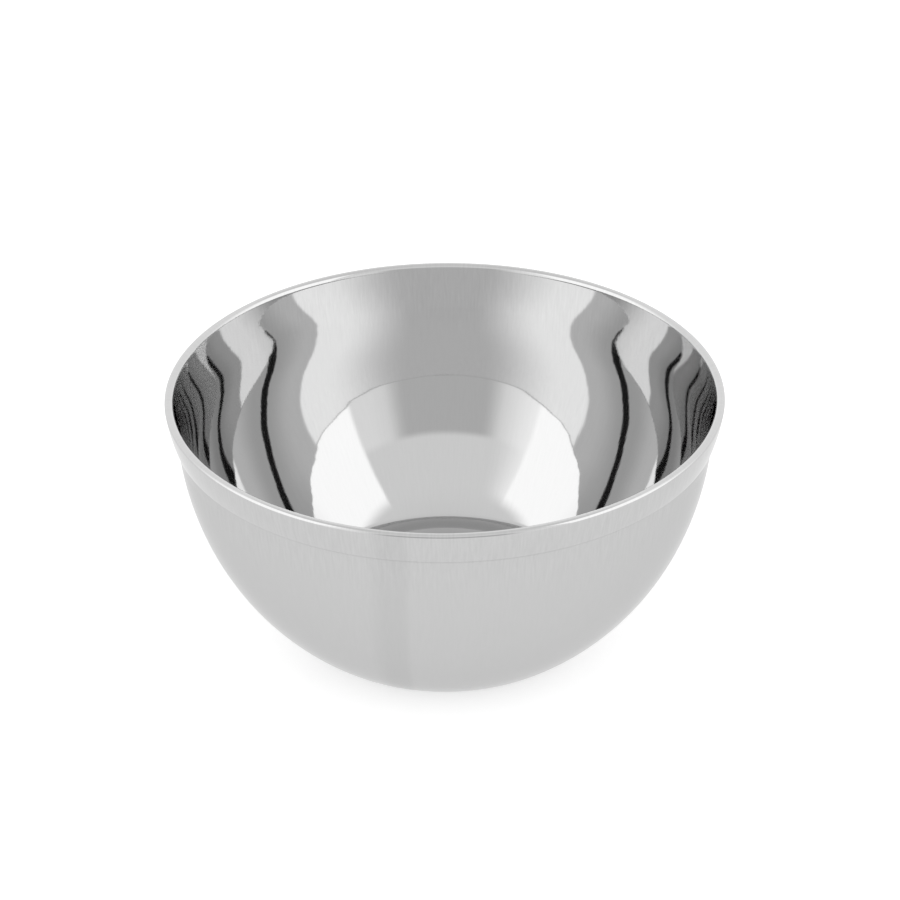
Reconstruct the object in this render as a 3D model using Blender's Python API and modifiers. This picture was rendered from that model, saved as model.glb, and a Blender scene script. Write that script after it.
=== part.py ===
"""Double-walled lather bowl in polished stainless steel.

The inner bowl's edge is rolled outward over the top of the outer bowl and pressed down,
which closes the two walls at the rim and leaves a smooth band round it.
Metres, +Z up. The origin is the centre of the flat underside.
"""

import math

import bmesh
import bpy

# Driving dimensions
RIM_RADIUS = 0.0575            # outermost radius of the rim
HEIGHT = 0.0540                # table to top of the rim
SHEET = 0.00035                # steel sheet of both bowls
SEAM_GAP = 0.00025             # clearance on each side of the outer bowl's edge inside the fold
BAND_HEIGHT = 0.0066           # rim band, from the top of the rim to its lower edge
BAND_BOTTOM_RADIUS = 0.05625   # outside of the band at its lower edge
BAND_BULGE = 0.00015           # how far the middle of the band stands out from a straight taper

# Inside of the inner bowl, by its depth below the top of the rim: an ellipse of revolution with a
# broad shallow waist drawn in
INSIDE_RADIUS = 0.05699
INSIDE_DEPTH_AXIS = 0.07139
INSIDE_CENTRE_DEPTH = -0.00665
WAIST_DRAW = 0.00143
WAIST_DEPTH = 0.0054
WAIST_SPREAD = 0.0111
FLOOR_DEPTH = 0.0517           # plane of the rim to the inner floor
FLOOR_CORNER = 0.0012          # radius between the inner wall and the inner floor
INSIDE_TOP_DEPTH = 0.0030      # above this depth the wall runs straight to the rounding of the lip
LIP_INNER_RADIUS = 0.00108     # rounding of the lip on its inner side

# Outside of the outer bowl: an ellipse of revolution centred just below the rim
BODY_RADIUS = 0.0554
BODY_DEPTH_AXIS = 0.0601
BODY_CENTRE_DEPTH = 0.0049
BASE_CORNER = 0.0030           # radius between the outer wall and the underside
NECK_DEPTH = 0.0115            # above this depth the outer bowl leaves its ellipse for the fold

# Mesh resolution
SEGMENTS = 64                  # round the axis, a multiple of four
WALL_STEPS = 10
CORNER_STEPS = 3
LIP_STEPS = 3                  # for each quarter turn of the lip
EDGE_ROUND = 0.00012           # rounding of the sheets' cut edges
SLOPE_STEP = 0.00001           # half the depth over which a wall's slope is taken

# Derived sizes
LIP_RADIUS = (3 * SHEET + 2 * SEAM_GAP) / 2
LIP_CENTRE = (RIM_RADIUS - LIP_RADIUS, HEIGHT - LIP_RADIUS)
BAND_BOTTOM_Z = HEIGHT - BAND_HEIGHT
BAND_RISE = LIP_CENTRE[1] - BAND_BOTTOM_Z
BAND_TILT = math.atan2(RIM_RADIUS - BAND_BOTTOM_RADIUS, BAND_RISE)


def arc(centre, radius, start, end, steps):
    """Points of a circular arc from start to end, both included."""
    angles = [start + (end - start) * i / steps for i in range(steps + 1)]
    return [(centre[0] + radius * math.cos(a), centre[1] + radius * math.sin(a)) for a in angles]


def ellipse_radius(radius, depth_axis, centre_depth, depth):
    """Radius of an ellipse of revolution at a depth below the top of the rim."""
    return radius * math.sqrt(1 - ((depth - centre_depth) / depth_axis) ** 2)


def inside_radius(depth):
    """Radius of the inside wall at a depth, but for the small shift that makes it meet the lip."""
    ellipse = ellipse_radius(INSIDE_RADIUS, INSIDE_DEPTH_AXIS, INSIDE_CENTRE_DEPTH, depth)
    waist = WAIST_DRAW * math.exp(-((depth - WAIST_DEPTH) / WAIST_SPREAD) ** 2)
    return ellipse - waist


def outside_radius(depth):
    """Radius of the outside wall at a depth."""
    return ellipse_radius(BODY_RADIUS, BODY_DEPTH_AXIS, BODY_CENTRE_DEPTH, depth)


def wall_normal(radius_at, depth):
    """Unit normal (r, z) of a wall, pointing away from the axis and down."""
    slope = (radius_at(depth + SLOPE_STEP) - radius_at(depth - SLOPE_STEP)) / (2 * SLOPE_STEP)
    length = math.hypot(1.0, slope)
    return 1.0 / length, slope / length


def corner_depth(radius_at, corner, floor_depth):
    """Depth on the wall where a corner of this radius touches both the wall and the floor."""
    low = 0.0
    high = floor_depth
    for _ in range(40):
        middle = (low + high) / 2
        if middle + corner * wall_normal(radius_at, middle)[1] < floor_depth - corner:
            low = middle
        else:
            high = middle
    return low


def floor_and_wall(radius_at, corner, floor_depth, top_depth):
    """Profile from the axis along the floor, round the corner and up the wall to top_depth."""
    start = corner_depth(radius_at, corner, floor_depth)
    nr, nz = wall_normal(radius_at, start)
    floor_z = HEIGHT - floor_depth
    centre = (radius_at(start) - corner * nr, floor_z + corner)
    points = [(0.0, floor_z)]
    points += arc(centre, corner, -math.pi / 2, math.atan2(nz, nr), CORNER_STEPS)
    for i in range(1, WALL_STEPS + 1):
        depth = start + (top_depth - start) * i / WALL_STEPS
        points.append((radius_at(depth), HEIGHT - depth))
    return points


def inner_bowl_profile():
    """Visible face of the inner bowl: floor, wall, over the lip and down the band."""
    inner_centre = (LIP_CENTRE[0], HEIGHT - LIP_INNER_RADIUS)
    roll = arc(inner_centre, LIP_INNER_RADIUS, math.pi - BAND_TILT, math.pi / 2, LIP_STEPS)
    shift = roll[0][0] - inside_radius(HEIGHT - roll[0][1])
    points = floor_and_wall(lambda depth: inside_radius(depth) + shift,
                            FLOOR_CORNER, FLOOR_DEPTH, INSIDE_TOP_DEPTH)
    points += roll
    points += arc(LIP_CENTRE, LIP_RADIUS, math.pi / 2, 0.0, LIP_STEPS)[1:]
    middle_r = (RIM_RADIUS + BAND_BOTTOM_RADIUS) / 2 + BAND_BULGE
    points.append((middle_r, BAND_BOTTOM_Z + BAND_RISE / 2))
    points.append((BAND_BOTTOM_RADIUS, BAND_BOTTOM_Z))
    return points


def outer_bowl_profile():
    """Outside face of the outer bowl: the edge inside the fold, neck, wall and underside."""
    points = floor_and_wall(outside_radius, BASE_CORNER, HEIGHT, NECK_DEPTH)
    inset = (SHEET + SEAM_GAP) / math.cos(BAND_TILT)
    neck_r = BAND_BOTTOM_RADIUS - inset
    points.append((neck_r, BAND_BOTTOM_Z))
    points.append((neck_r + BAND_RISE * math.tan(BAND_TILT), LIP_CENTRE[1]))
    return points[::-1]


def polished_steel(name, brightness, roughness):
    """Neutral grey metal, one Principled BSDF."""
    steel = bpy.data.materials.new(name)
    steel.use_nodes = True
    shader = steel.node_tree.nodes["Principled BSDF"]
    shader.inputs["Base Color"].default_value = (brightness, brightness, brightness, 1.0)
    shader.inputs["Metallic"].default_value = 1.0
    shader.inputs["Roughness"].default_value = roughness
    return steel


def turned_sheet(name, profile, steel, collection):
    """Sheet-metal bowl: the profile of its visible face turned round Z and thickened behind."""
    mesh = bpy.data.meshes.new(name)
    line = bmesh.new()
    verts = [line.verts.new((r, 0.0, z)) for r, z in profile]
    for first, second in zip(verts, verts[1:]):
        line.edges.new((first, second))
    line.to_mesh(mesh)
    line.free()
    mesh.materials.append(steel)
    part = bpy.data.objects.new(name, mesh)
    collection.objects.link(part)

    turn = part.modifiers.new("turn", "SCREW")
    turn.axis = "Z"
    turn.angle = 2 * math.pi
    turn.steps = SEGMENTS
    turn.render_steps = SEGMENTS
    turn.use_merge_vertices = True
    turn.merge_threshold = 0.00001

    thickness = part.modifiers.new("sheet", "SOLIDIFY")
    thickness.thickness = SHEET
    thickness.offset = -1.0
    thickness.use_even_offset = True

    rounding = part.modifiers.new("cut_edge", "BEVEL")
    rounding.width = EDGE_ROUND
    rounding.segments = 2
    rounding.limit_method = "ANGLE"
    rounding.angle_limit = math.radians(60)
    return part


def build():
    for old in list(bpy.data.objects):
        bpy.data.objects.remove(old)
    collection = bpy.data.collections.new("lather_bowl")
    bpy.context.scene.collection.children.link(collection)
    inside = polished_steel("polished_steel_inside", 0.62, 0.05)
    outside = polished_steel("polished_steel_outside", 0.62, 0.12)
    turned_sheet("inner_bowl", inner_bowl_profile(), inside, collection)
    turned_sheet("outer_bowl", outer_bowl_profile(), outside, collection)


build()
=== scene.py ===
import math

import bpy
import numpy as np
from mathutils import Matrix, Vector


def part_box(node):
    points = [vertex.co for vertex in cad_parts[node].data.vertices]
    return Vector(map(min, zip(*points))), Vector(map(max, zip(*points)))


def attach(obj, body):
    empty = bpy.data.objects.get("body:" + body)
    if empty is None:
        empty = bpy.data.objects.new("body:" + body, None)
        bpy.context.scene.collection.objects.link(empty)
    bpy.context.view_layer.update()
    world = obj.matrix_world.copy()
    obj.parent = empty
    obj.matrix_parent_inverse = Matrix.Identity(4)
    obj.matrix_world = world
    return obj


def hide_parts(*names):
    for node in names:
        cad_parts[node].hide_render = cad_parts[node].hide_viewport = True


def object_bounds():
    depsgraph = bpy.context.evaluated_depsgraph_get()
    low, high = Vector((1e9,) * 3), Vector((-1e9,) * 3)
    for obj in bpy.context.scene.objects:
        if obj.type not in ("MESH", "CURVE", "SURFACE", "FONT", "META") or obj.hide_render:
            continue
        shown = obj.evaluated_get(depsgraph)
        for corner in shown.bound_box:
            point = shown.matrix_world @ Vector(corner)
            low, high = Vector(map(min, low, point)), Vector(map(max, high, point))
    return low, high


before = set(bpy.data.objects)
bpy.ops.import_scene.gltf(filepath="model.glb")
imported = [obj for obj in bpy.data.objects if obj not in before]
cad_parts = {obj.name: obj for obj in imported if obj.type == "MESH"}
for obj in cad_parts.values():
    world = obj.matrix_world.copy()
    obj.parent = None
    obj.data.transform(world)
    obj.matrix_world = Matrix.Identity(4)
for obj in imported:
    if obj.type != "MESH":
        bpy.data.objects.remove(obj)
cad_low, cad_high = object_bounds()

# ---------------------------------------------------------------- sizes, in metres
RIM_RADIUS = cad_high.x
HEIGHT = cad_high.z
SHEET = 0.00035                # sheet thickness of both bowls
SEAM_GAP = 0.00025             # clearance on each side of the outer bowl's edge inside the fold

# Inside wall, by its depth below the top of the rim: an ellipse with a broad shallow waist drawn in.
INSIDE_RADIUS = 0.05699
INSIDE_DEPTH_AXIS = 0.07139
INSIDE_CENTRE_DEPTH = -0.00665
WAIST_DRAW = 0.00143
WAIST_DEPTH = 0.0054
WAIST_SPREAD = 0.0111
FLOOR_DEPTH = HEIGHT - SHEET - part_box("inner_bowl")[0].z
FLOOR_CORNER = 0.0012

# Outside wall: an ellipse centred just below the rim.
OUTSIDE_RADIUS = 0.0554
OUTSIDE_DEPTH_AXIS = 0.0601
OUTSIDE_CENTRE_DEPTH = 0.0049
BASE_CORNER = 0.0030
NECK_DEPTH = 0.0100            # above this depth the outer bowl leaves its ellipse for the fold
SLOPE_STEP = 0.00001           # half the depth over which a wall's slope is taken

# Rim: the inner bowl's edge, rolled over the outer bowl's edge and pressed down as a band.
BAND_HEIGHT = 0.0066
BAND_BOTTOM_RADIUS = 0.05625
BAND_BULGE = 0.00015
LIP_RADIUS = (3 * SHEET + 2 * SEAM_GAP) / 2
LIP_INNER_RADIUS = 0.00108     # rounding of the lip on its inner side
LIP_R = RIM_RADIUS - LIP_RADIUS
LIP_Z = HEIGHT - LIP_RADIUS
BAND_BOTTOM = HEIGHT - BAND_HEIGHT
BAND_RISE = LIP_Z - BAND_BOTTOM
BAND_TILT = math.atan2(RIM_RADIUS - BAND_BOTTOM_RADIUS, BAND_RISE)

# Fineness of the turned meshes
SEGMENTS = 512
WALL_STEPS = 240
FLOOR_STEPS = 40
CORNER_STEPS = 12
LIP_STEPS = 16                 # for each side of the lip
BAND_STEPS = 24
NECK_STEPS = 12                # for each stretch of the outer bowl's edge
EDGE_STEPS = 8                 # round a cut edge
HIDDEN_STEPS = 80              # along a hidden face

# Slight unevenness of the formed sheet
RING_WAVE = 0.000003           # level rings
RING_LENGTH = 0.0075
LOBE_WAVE = 0.00002            # broad hollows and rises
RIPPLE_WAVE = 0.000003         # smaller ones
FINE_WAVE = 0.0000003          # fine rings
FINE_LENGTH = 0.0023
WAVE_FADE = 0.004              # distance over which the waves die out below the band
WAVE_FREE_FLOOR = 0.002        # height over which they die out at the table
WAVE_FREE_CENTRE = 0.012       # radius over which they die out towards the axis

# Steel, its polishing marks and the painted shade in the seam under the band
STEEL_COLOUR = 0.62
INSIDE_ROUGHNESS = 0.035
OUTSIDE_ROUGHNESS = 0.10
ROUGHNESS_LEAST = 0.7          # share of the roughness that is there without the clouding
ROUGHNESS_SPREAD = 0.6         # further share in the strongest clouding
CLOUDS = 60.0                  # per metre
STREAKS_ROUND = 140.0          # per radian round the bowl
STREAKS_UP = 260.0             # per metre up the wall
STREAK_DEPTH = 0.000001
STREAK_TINT = 0.03             # how much the streaks vary the colour
RIM_STREAK_TINT = 0.07         # further variation near the rim
RIM_STREAK_SPAN = 0.012        # height over which that variation grows, up to the band
OUTSIDE_EDGE_TINT = 0.88
PAINTED_SEAM_HEIGHT = 0.0010           # height of the line of painted shade in the seam under the band
PAINTED_SEAM_SHADE = 0.14              # how much darker the painted shade makes the steel's colour

# Camera
CAMERA_DISTANCE = 10 * RIM_RADIUS
CAMERA_LENS = 111.8            # mm on a 36 mm sensor
CAMERA_ELEVATION = math.radians(29.17)
CAMERA_ROLL = math.radians(-0.46)
CAMERA_YAW = math.radians(-0.11)
CAMERA_PITCH = math.radians(-1.29)

# Dark upright gap in the studio wall where the camera stands
SLIT_WIDTH = 0.080
SLIT_SOFT_EDGE = 0.006
SLIT_BOTTOM = 0.235
SLIT_TOP = 0.520
SLIT_COLOUR = 0.02
SLIT_BEHIND = 0.001            # distance behind the camera

# Studio brightness, and soft edges as (start, end) in degrees. Across is the angle to either side of the
# camera, and azimuth is the same angle counted positive towards +X.
CEILING = 0.93
CEILING_OVERHEAD = 0.84
CEILING_FADE = (50.0, 75.0)        # elevation
WALL_TOP = (49.0, 56.0)            # elevation where every wall gives way to the ceiling
WALL_MIDDLE = 0.76
WALL_SIDE = 1.05
WALL_FADE = (8.0, 42.0)            # across
CARD = 0.62                        # grey card round the camera
CARD_SIDE = (31.0, 19.0)           # across
CARD_TOP = (34.5, 31.5)            # elevation
ABOVE_CARD = (31.0, 35.0)          # elevation
HAZE = 1.48                        # brighter wall to the camera's left
HAZE_FADE = (-26.0, -60.0)         # azimuth
BACK_WALL = 1.0
SOFTBOX = 1.95
SOFTBOX_THIRD = 2.6                # in the third and later reflections
SOFTBOX_FADE = (75.0, 150.0)       # across
SOFTBOX_EDGE = 49.2                # across
SOFTBOX_EDGE_WIDTH = 3.0

# The same for the first reflection
FIRST_BACK_WALL = 1.05
FIRST_SOFTBOX = 1.52
FIRST_SOFTBOX_FADE = (85.0, 120.0)
FIRST_SOFTBOX_EDGE = 46.0

# Floor
FLOOR_HALF = 3.0
FLOOR_GAP = 0.00005            # below the underside of the bowl
FLOOR_COLOUR = 0.82
FLOOR_ROUGHNESS = 0.9
FLOOR_LIFT = 0.45              # light added where the camera sees it
FLOOR_IN_STEEL = 0.97          # even brightness that the steel sees
FLOOR_IN_STEEL_SHARE = 0.75    # share of that brightness against the lit floor
PAINTED_FLOOR_SHADE = 0.07              # painted shade: how much darker the floor is, as the steel sees it, in a streak at the front left
PAINTED_FLOOR_SHADE_START = (-26.0, -19.0)  # azimuth
PAINTED_FLOOR_SHADE_END = (-11.0, -13.5)    # azimuth


# ---------------------------------------------------------------- profiles

def arc(centre_r, centre_z, radius, start, end, steps):
    """Points of a circular arc from start to end, both included."""
    angles = [start + (end - start) * i / steps for i in range(steps + 1)]
    return [(centre_r + radius * math.cos(a), centre_z + radius * math.sin(a)) for a in angles]


def line(start, end, steps):
    """Evenly spaced points from start to end, both included."""
    return [tuple(a + (b - a) * i / steps for a, b in zip(start, end)) for i in range(steps + 1)]


def ellipse_radius(radius, depth_axis, centre_depth, depth):
    """Radius of an ellipse of revolution at a depth below the top of the rim."""
    return radius * math.sqrt(1 - ((depth - centre_depth) / depth_axis) ** 2)


def inside_shape(depth):
    """Radius of the inside wall at a depth, but for the small shift that makes it meet the lip."""
    r = ellipse_radius(INSIDE_RADIUS, INSIDE_DEPTH_AXIS, INSIDE_CENTRE_DEPTH, depth)
    return r - WAIST_DRAW * math.exp(-((depth - WAIST_DEPTH) / WAIST_SPREAD) ** 2)


def outside_shape(depth):
    """Radius of the outside wall at a depth."""
    return ellipse_radius(OUTSIDE_RADIUS, OUTSIDE_DEPTH_AXIS, OUTSIDE_CENTRE_DEPTH, depth)


def wall_normal(shape, depth):
    """Unit normal (r, z) of a wall, pointing away from the axis and down."""
    slope = (shape(depth + SLOPE_STEP) - shape(depth - SLOPE_STEP)) / (2 * SLOPE_STEP)
    length = math.hypot(1.0, slope)
    return 1.0 / length, slope / length


def corner_depth(shape, corner, floor_depth):
    """Depth on the wall where a corner of this radius touches both the wall and the floor."""
    low = 0.0
    high = floor_depth
    for _ in range(40):
        middle = (low + high) / 2
        if middle + corner * wall_normal(shape, middle)[1] < floor_depth - corner:
            low = middle
        else:
            high = middle
    return low


def floor_and_wall(shape, corner, floor_depth, top_depth):
    """Profile from the axis along the floor, round the corner and up the wall to top_depth."""
    start = corner_depth(shape, corner, floor_depth)
    nr, nz = wall_normal(shape, start)
    corner_r = shape(start) - corner * nr
    floor_z = HEIGHT - floor_depth
    points = line((0.0, floor_z), (corner_r, floor_z), FLOOR_STEPS)
    wall_angle = math.atan2(nz, nr)
    points += arc(corner_r, floor_z + corner, corner, -math.pi / 2, wall_angle, CORNER_STEPS)[1:]
    depths = [start + (top_depth - start) * i / WALL_STEPS for i in range(1, WALL_STEPS + 1)]
    return points + [(shape(depth), HEIGHT - depth) for depth in depths]


def inner_bowl_face():
    """Visible face of the inner bowl: floor, wall, over the lip and down the band."""
    inner_z = HEIGHT - LIP_INNER_RADIUS
    lip = arc(LIP_R, inner_z, LIP_INNER_RADIUS, math.pi - BAND_TILT, math.pi / 2, LIP_STEPS)
    lip += arc(LIP_R, LIP_Z, LIP_RADIUS, math.pi / 2, 0.0, LIP_STEPS)[1:]
    foot_r, foot_z = lip[0]
    foot_depth = HEIGHT - foot_z
    shift = foot_r - inside_shape(foot_depth)
    points = floor_and_wall(lambda depth: inside_shape(depth) + shift,
                            FLOOR_CORNER, FLOOR_DEPTH, foot_depth)
    points += lip[1:]
    for r, z in line((RIM_RADIUS, LIP_Z), (BAND_BOTTOM_RADIUS, BAND_BOTTOM), BAND_STEPS)[1:]:
        share = (z - BAND_BOTTOM) / BAND_RISE
        points.append((r + BAND_BULGE * 4 * share * (1 - share), z))
    return points


def outer_bowl_face():
    """Outside face of the outer bowl: underside, wall and the edge inside the fold."""
    points = floor_and_wall(outside_shape, BASE_CORNER, HEIGHT, NECK_DEPTH)
    neck_r = BAND_BOTTOM_RADIUS - (SHEET + SEAM_GAP) / math.cos(BAND_TILT)
    points += line(points[-1], (neck_r, BAND_BOTTOM), NECK_STEPS)[1:]
    points += line(points[-1], (neck_r + BAND_RISE * math.tan(BAND_TILT), LIP_Z), NECK_STEPS)[1:]
    return points


def solid_section(face, visible_side):
    """Closed sheet section (r, z) and its unit normals: the visible face from the axis to the cut edge,
    round the edge and back along the hidden face to the axis.
    visible_side is 1 where the visible face is on the left of the run and -1 where it is on the right."""
    face = np.array(face)
    run = np.gradient(face, axis=0)
    run[0] = (1.0, 0.0)
    out = np.column_stack((-run[:, 1], run[:, 0])) * visible_side
    out /= np.linalg.norm(out, axis=1)[:, None]
    hidden = face - out * SHEET
    middle = (face[-1] + hidden[-1]) / 2
    ahead = run[-1] / np.linalg.norm(run[-1])
    turns = np.linspace(0, math.pi, EDGE_STEPS + 1)[1:-1, None]
    around = out[-1] * np.cos(turns) + ahead * np.sin(turns)
    back = np.linspace(len(face) - 1, 0, HIDDEN_STEPS).round().astype(int)
    points = np.vstack((face, middle + around * SHEET / 2, hidden[back]))
    normals = np.vstack((out, around, -out[back]))
    return points, normals


# ---------------------------------------------------------------- turned meshes

def unevenness(angle, length):
    """Height of the slight waves that drawing and polishing leave in the sheet, in metres.
    angle goes round the bowl and length runs along the profile. Each wave goes round a whole number of
    times, so it closes on itself. The phases are arbitrary."""
    rings = RING_WAVE * np.sin(2 * math.pi * length / RING_LENGTH + 0.6 * np.sin(3 * angle + 1.0))
    lobes = LOBE_WAVE * np.sin(5 * angle + 40 * length + 0.7) * np.sin(70 * length + 2 * angle)
    ripples = RIPPLE_WAVE * np.sin(17 * angle + 0.9 * np.sin(160 * length)) * np.sin(230 * length + 1.3)
    fine = FINE_WAVE * np.sin(2 * math.pi * length / FINE_LENGTH + 2.0 * np.sin(2 * angle + 0.4))
    fine = fine * (1.0 + 0.6 * np.sin(2 * math.pi * length / (3.7 * FINE_LENGTH) + 3 * angle))
    return rings + lobes + ripples + fine


def turned_vertices(points, normals):
    """Vertices of the section turned round Z, with the slight unevenness of a formed bowl on its walls.
    The section's two ends come last, on the axis."""
    length = np.concatenate(([0.0], np.cumsum(np.linalg.norm(np.diff(points, axis=0), axis=1))))
    angle = np.linspace(0.0, 2 * math.pi, SEGMENTS, endpoint=False)[:, None]
    r = points[1:-1, 0]
    z = points[1:-1, 1]
    below_band = np.clip((BAND_BOTTOM - z) / WAVE_FADE, 0.0, 1.0)
    above_table = np.clip(z / WAVE_FREE_FLOOR, 0.0, 1.0)
    off_axis = np.clip(r / WAVE_FREE_CENTRE, 0.0, 1.0)
    wave = below_band * above_table * off_axis * unevenness(angle, length[1:-1])
    turned_r = r + wave * normals[1:-1, 0]
    turned_z = z + wave * normals[1:-1, 1]
    walls = np.stack((turned_r * np.cos(angle), turned_r * np.sin(angle), turned_z), axis=2)
    poles = [(0.0, 0.0, points[0, 1]), (0.0, 0.0, points[-1, 1])]
    return np.vstack((walls.reshape(-1, 3), poles))


def turned_faces(rings, visible_side):
    """Four-sided faces between the rings, and a fan of triangles round the axis at each end. As listed
    they look to the right of the run, so they are reversed where the visible face is on the left."""
    here = np.arange(SEGMENTS)[:, None] * rings
    ahead = np.roll(here, -1, axis=0)
    step = np.arange(rings - 1)[None, :]
    quads = np.stack((here + step, ahead + step, ahead + step + 1, here + step + 1), axis=2)
    pole = np.full(SEGMENTS, SEGMENTS * rings)
    last = rings - 1
    start_fan = np.column_stack((pole, ahead[:, 0], here[:, 0]))
    end_fan = np.column_stack((pole + 1, here[:, 0] + last, ahead[:, 0] + last))
    faces = []
    for group in (quads.reshape(-1, 4), start_fan, end_fan):
        faces += group[:, ::-visible_side].tolist()
    return faces


def turned_mesh(name, face, visible_side):
    """Sheet-metal piece: the closed section behind its visible face, turned round Z."""
    points, normals = solid_section(face, visible_side)
    vertices = turned_vertices(points, normals).tolist()
    faces = turned_faces(len(points) - 2, visible_side)
    mesh = bpy.data.meshes.new(name)
    mesh.from_pydata(vertices, [], faces)
    mesh.shade_smooth()
    piece = bpy.data.objects.new(name, mesh)
    bpy.context.scene.collection.objects.link(piece)
    return piece


# ---------------------------------------------------------------- shader helpers

def node(tree, kind, values=(), **settings):
    """New node with its settings. values gives an input by name or place a number, a colour or a socket."""
    made = tree.nodes.new(kind)
    for key, value in settings.items():
        setattr(made, key, value)
    for key, value in dict(values).items():
        if isinstance(value, bpy.types.NodeSocket):
            tree.links.new(value, made.inputs[key])
        else:
            made.inputs[key].default_value = value
    return made


def maths(tree, operation, *values):
    """Output of a Math node on numbers or sockets."""
    return node(tree, "ShaderNodeMath", dict(enumerate(values)), operation=operation).outputs[0]


def soft_step(tree, value, start, end):
    """0 before start and 1 after end, smooth between. start may be above end."""
    inputs = {"Value": value, "From Min": start, "From Max": end}
    return node(tree, "ShaderNodeMapRange", inputs, interpolation_type="SMOOTHSTEP").outputs[0]


def blend(tree, share, first, second):
    """first where share is 0, second where it is 1."""
    inputs = {0: share, 2: first, 3: second}
    return node(tree, "ShaderNodeMix", inputs, data_type="FLOAT").outputs[0]


def azimuth_of(tree, split):
    """Azimuth in degrees of a direction or place, given the Separate XYZ node that splits it."""
    toward_camera = maths(tree, "MULTIPLY", split.outputs[1], -1.0)
    return maths(tree, "DEGREES", maths(tree, "ARCTAN2", split.outputs[0], toward_camera))


def product(tree, *values):
    """All the values multiplied together."""
    total = values[0]
    for value in values[1:]:
        total = maths(tree, "MULTIPLY", total, value)
    return total


# ---------------------------------------------------------------- steel

def streak_pattern(tree, place, height):
    """Noise of the direction round the axis and the height, drawn out into streaks up the wall."""
    level = node(tree, "ShaderNodeVectorMath", {0: place, 1: (1, 1, 0)}, operation="MULTIPLY").outputs[0]
    round_axis = node(tree, "ShaderNodeVectorMath", {0: level}, operation="NORMALIZE").outputs[0]
    around = node(tree, "ShaderNodeSeparateXYZ", {0: round_axis})
    stretched = node(tree, "ShaderNodeCombineXYZ", {
        0: maths(tree, "MULTIPLY", around.outputs[0], STREAKS_ROUND),
        1: maths(tree, "MULTIPLY", around.outputs[1], STREAKS_ROUND),
        2: maths(tree, "MULTIPLY", height, STREAKS_UP),
    }).outputs[0]
    return node(tree, "ShaderNodeTexNoise", {"Vector": stretched, "Scale": 1.0, "Detail": 3.0}).outputs[0]


def polished_steel(name, roughness, edge_tint, painted_seam_shade):
    """Polished steel with fine polishing streaks, stronger near the rim, and faint clouding.
    edge_tint below 1 weakens the brightening at grazing angles. The last argument darkens the colour in a
    line
    under the rim band: painted shade for the dark crease of the seam."""
    steel = bpy.data.materials.new(name)
    steel.use_nodes = True
    tree = steel.node_tree
    shader = tree.nodes["Principled BSDF"]
    place = node(tree, "ShaderNodeTexCoord").outputs["Object"]
    height = node(tree, "ShaderNodeSeparateXYZ", {0: place}).outputs[2]
    streaks = streak_pattern(tree, place, height)
    clouds = node(tree, "ShaderNodeTexNoise", {"Vector": place, "Scale": CLOUDS, "Detail": 2.0}).outputs[0]
    near_rim = soft_step(tree, height, BAND_BOTTOM - RIM_STREAK_SPAN, BAND_BOTTOM)
    contrast = maths(tree, "MULTIPLY_ADD", near_rim, RIM_STREAK_TINT, STREAK_TINT)
    uneven = maths(tree, "MULTIPLY", maths(tree, "SUBTRACT", streaks, 0.5), contrast)
    # painted shade: the colour is darkened in a line just under the band, where the seam's crease looks
    # dark
    in_painted_seam = soft_step(tree, height, BAND_BOTTOM - PAINTED_SEAM_HEIGHT, BAND_BOTTOM)
    painted_seam_darkening = maths(tree, "MULTIPLY", in_painted_seam, painted_seam_shade)
    shade = maths(tree, "SUBTRACT", maths(tree, "ADD", uneven, STEEL_COLOUR), painted_seam_darkening)
    tint = node(tree, "ShaderNodeCombineColor", {0: shade, 1: shade, 2: shade}).outputs[0]
    tree.links.new(tint, shader.inputs["Base Color"])
    shader.inputs["Metallic"].default_value = 1.0
    shader.inputs["Specular Tint"].default_value = (edge_tint, edge_tint, edge_tint, 1.0)
    spread = roughness * ROUGHNESS_SPREAD
    rough = maths(tree, "MULTIPLY_ADD", clouds, spread, roughness * ROUGHNESS_LEAST)
    tree.links.new(rough, shader.inputs["Roughness"])
    bump = node(tree, "ShaderNodeBump", {"Height": streaks, "Distance": STREAK_DEPTH, "Strength": 1.0})
    tree.links.new(bump.outputs[0], shader.inputs["Normal"])
    return steel


def dress(piece, node_name, steel):
    """Finishes a piece: its steel and its body, and hides the CAD node it stands for."""
    piece.data.materials.append(steel)
    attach(piece, "root")
    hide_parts(node_name)


# ---------------------------------------------------------------- studio

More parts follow.
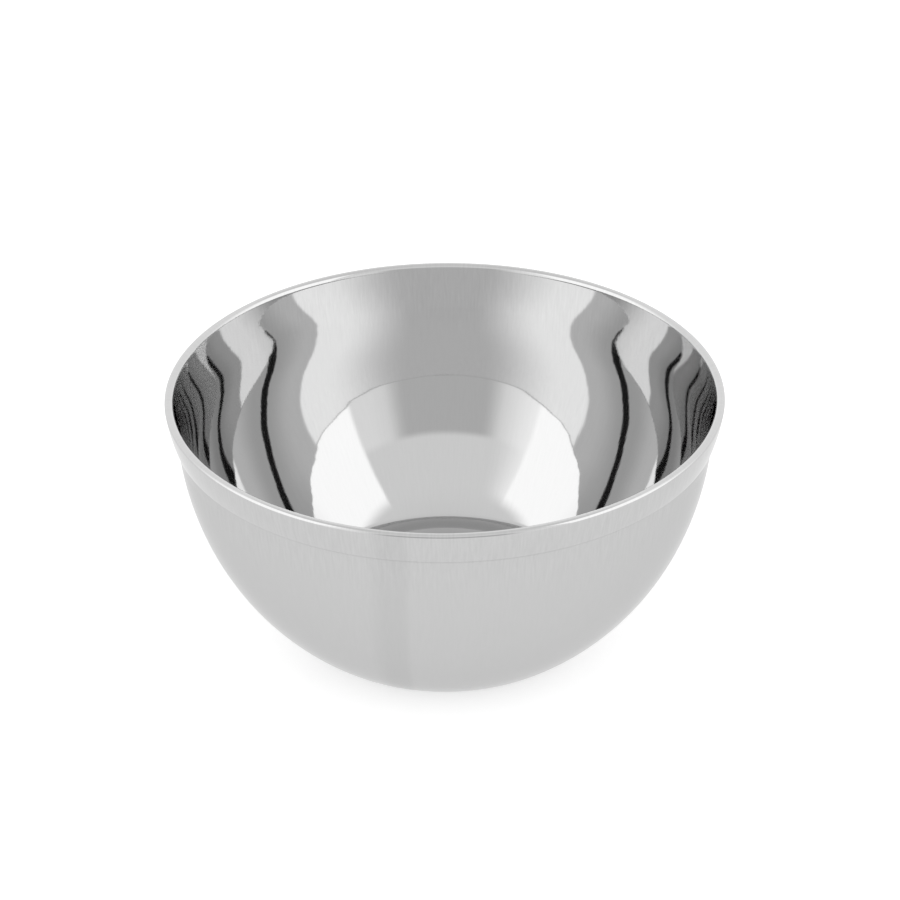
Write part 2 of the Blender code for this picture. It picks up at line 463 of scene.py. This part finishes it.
def studio_world():
    """Soft studio all round, seen in the steel: a grey card and a greyer wall on the camera's side, a large
    softbox on each side, a white wall behind the bowl and a white ceiling. The world's ray depth is 1 more
    than the number of reflections, and the first reflection sees the studio slightly differently."""
    world = bpy.data.worlds.new("studio")
    bpy.context.scene.world = world
    world.use_nodes = True
    tree = world.node_tree
    split = node(tree, "ShaderNodeSeparateXYZ", {0: node(tree, "ShaderNodeTexCoord").outputs["Generated"]})
    azimuth = azimuth_of(tree, split)
    across = maths(tree, "ABSOLUTE", azimuth)
    elevation = maths(tree, "DEGREES", maths(tree, "ARCSINE", split.outputs[2]))
    ray_depth = node(tree, "ShaderNodeLightPath").outputs["Ray Depth"]
    first = maths(tree, "LESS_THAN", ray_depth, 2.5)
    third = maths(tree, "GREATER_THAN", ray_depth, 3.5)

    ceiling = blend(tree, soft_step(tree, elevation, *CEILING_FADE), CEILING, CEILING_OVERHEAD)
    wall = camera_side_wall(tree, azimuth, across, elevation, first, ceiling)
    softbox = blend(tree, third, SOFTBOX, SOFTBOX_THIRD)
    glow = blend(tree, soft_step(tree, across, *SOFTBOX_FADE), softbox, BACK_WALL)
    first_glow = blend(tree, soft_step(tree, across, *FIRST_SOFTBOX_FADE), FIRST_SOFTBOX, FIRST_BACK_WALL)
    edge = blend(tree, first, SOFTBOX_EDGE, FIRST_SOFTBOX_EDGE)
    beside = soft_step(tree, across, edge, maths(tree, "ADD", edge, SOFTBOX_EDGE_WIDTH))
    sides = blend(tree, beside, wall, blend(tree, first, glow, first_glow))
    light = blend(tree, soft_step(tree, elevation, *WALL_TOP), sides, ceiling)
    tree.links.new(light, tree.nodes["Background"].inputs["Strength"])
    tree.nodes["Background"].inputs["Color"].default_value = (1.0, 1.0, 1.0, 1.0)


def camera_side_wall(tree, azimuth, across, elevation, first, ceiling):
    """Brightness of the wall on the camera's side. The card, the ceiling low above it and the haze show in
    the first reflection only."""
    wall = blend(tree, soft_step(tree, across, *WALL_FADE), WALL_MIDDLE, WALL_SIDE)
    above_card = product(tree, first, soft_step(tree, elevation, *ABOVE_CARD))
    wall = blend(tree, above_card, wall, ceiling)
    card = product(tree, first, soft_step(tree, across, *CARD_SIDE), soft_step(tree, elevation, *CARD_TOP))
    wall = blend(tree, card, wall, CARD)
    haze = product(tree, first, soft_step(tree, azimuth, *HAZE_FADE))
    return blend(tree, haze, wall, HAZE)


def flat_sheet(name, corners):
    """Four-cornered staging sheet that isn't part of the object."""
    mesh = bpy.data.meshes.new(name)
    mesh.from_pydata(corners, [], [(0, 1, 2, 3)])
    sheet = bpy.data.objects.new(name, mesh)
    bpy.context.scene.collection.objects.link(sheet)
    return sheet


def dark_slit():
    """The dark gap where the camera stands. It shows only in the mirror image of a mirror image."""
    x = SLIT_WIDTH / 2 + SLIT_SOFT_EDGE / 2
    y = -CAMERA_DISTANCE * math.cos(CAMERA_ELEVATION) - SLIT_BEHIND
    lower_edge = [(-x, y, SLIT_BOTTOM), (x, y, SLIT_BOTTOM)]
    upper_edge = [(x, y, SLIT_TOP), (-x, y, SLIT_TOP)]
    slit = flat_sheet("dark_slit", lower_edge + upper_edge)
    slit.visible_camera = False
    slit.visible_diffuse = False
    slit.visible_shadow = False
    gap = bpy.data.materials.new("dark_slit")
    gap.use_nodes = True
    tree = gap.node_tree
    tree.nodes.clear()
    place = node(tree, "ShaderNodeTexCoord").outputs["Object"]
    across = maths(tree, "ABSOLUTE", node(tree, "ShaderNodeSeparateXYZ", {0: place}).outputs[0])
    reflections = node(tree, "ShaderNodeLightPath").outputs["Ray Depth"]
    repeated = maths(tree, "GREATER_THAN", reflections, 1.5)
    dark = product(tree, repeated, soft_step(tree, across, x, x - SLIT_SOFT_EDGE))
    clear = node(tree, "ShaderNodeBsdfTransparent").outputs[0]
    colour = (SLIT_COLOUR, SLIT_COLOUR, SLIT_COLOUR, 1.0)
    black = node(tree, "ShaderNodeEmission", {"Color": colour}).outputs[0]
    mixed = node(tree, "ShaderNodeMixShader", {0: dark, 1: clear, 2: black}).outputs[0]
    node(tree, "ShaderNodeOutputMaterial", {"Surface": mixed})
    slit.data.materials.append(gap)


def pale_floor():
    """Plain pale floor under the bowl. The steel sees it almost evenly lit, with little of the bowl's
    own shadow, and with a streak of painted shade at the front left."""
    half = FLOOR_HALF
    z = cad_low.z - FLOOR_GAP
    near_edge = [(-half, -half, z), (half, -half, z)]
    far_edge = [(half, half, z), (-half, half, z)]
    floor = flat_sheet("floor", near_edge + far_edge)
    paint = bpy.data.materials.new("pale_floor")
    paint.use_nodes = True
    tree = paint.node_tree
    shader = tree.nodes["Principled BSDF"]
    shader.inputs["Base Color"].default_value = (FLOOR_COLOUR, FLOOR_COLOUR, FLOOR_COLOUR, 1.0)
    shader.inputs["Roughness"].default_value = FLOOR_ROUGHNESS
    shader.inputs["Specular IOR Level"].default_value = 0.0
    shader.inputs["Emission Color"].default_value = (1.0, 1.0, 1.0, 1.0)
    ray = node(tree, "ShaderNodeLightPath").outputs
    lift = maths(tree, "MULTIPLY", ray["Is Camera Ray"], FLOOR_LIFT)
    tree.links.new(lift, shader.inputs["Emission Strength"])
    place = node(tree, "ShaderNodeTexCoord").outputs["Object"]
    azimuth = azimuth_of(tree, node(tree, "ShaderNodeSeparateXYZ", {0: place}))
    # painted shade on the floor: a darker streak at the front left, seen only in the steel
    after_start = soft_step(tree, azimuth, *PAINTED_FLOOR_SHADE_START)
    before_end = soft_step(tree, azimuth, *PAINTED_FLOOR_SHADE_END)
    painted_floor_shade = product(tree, after_start, before_end, PAINTED_FLOOR_SHADE)
    strength = maths(tree, "SUBTRACT", FLOOR_IN_STEEL, painted_floor_shade)
    even = node(tree, "ShaderNodeEmission", {"Strength": strength}).outputs[0]
    share = maths(tree, "MULTIPLY", ray["Is Glossy Ray"], FLOOR_IN_STEEL_SHARE)
    mixed = node(tree, "ShaderNodeMixShader", {0: share, 1: shader.outputs[0], 2: even}).outputs[0]
    tree.links.new(mixed, tree.nodes["Material Output"].inputs["Surface"])
    floor.data.materials.append(paint)


def camera():
    """Camera on the -Y side, looking down into the bowl."""
    lens = bpy.data.cameras.new("camera")
    eye = bpy.data.objects.new("camera", lens)
    bpy.context.scene.collection.objects.link(eye)
    lens.sensor_width = 36.0
    lens.lens = CAMERA_LENS
    away = Vector((0.0, -math.cos(CAMERA_ELEVATION), math.sin(CAMERA_ELEVATION))) * CAMERA_DISTANCE
    turn = (Matrix.Rotation(math.radians(90.0) - CAMERA_ELEVATION, 4, "X")
            @ Matrix.Rotation(CAMERA_ROLL, 4, "Z")
            @ Matrix.Rotation(CAMERA_YAW, 4, "Y")
            @ Matrix.Rotation(CAMERA_PITCH, 4, "X"))
    eye.matrix_world = Matrix.Translation(Vector((0.0, 0.0, HEIGHT)) + away) @ turn
    lens.clip_start = CAMERA_DISTANCE / 100
    bpy.context.scene.camera = eye


# ---------------------------------------------------------------- the scene
polished_inside = polished_steel("polished_inside", INSIDE_ROUGHNESS, edge_tint=1.0, painted_seam_shade=0.0)
inner_bowl = turned_mesh("inner_bowl_fine", inner_bowl_face(), visible_side=1)
dress(inner_bowl, "inner_bowl", polished_inside)

polished_outside = polished_steel("polished_outside", OUTSIDE_ROUGHNESS, OUTSIDE_EDGE_TINT, PAINTED_SEAM_SHADE)
outer_bowl = turned_mesh("outer_bowl_fine", outer_bowl_face(), visible_side=-1)
dress(outer_bowl, "outer_bowl", polished_outside)

studio_world()
dark_slit()
pale_floor()
camera()
bpy.context.scene.view_settings.view_transform = "Standard"
bpy.context.scene.cycles.glossy_bounces = 12   # near the sides the wall mirrors itself many times over
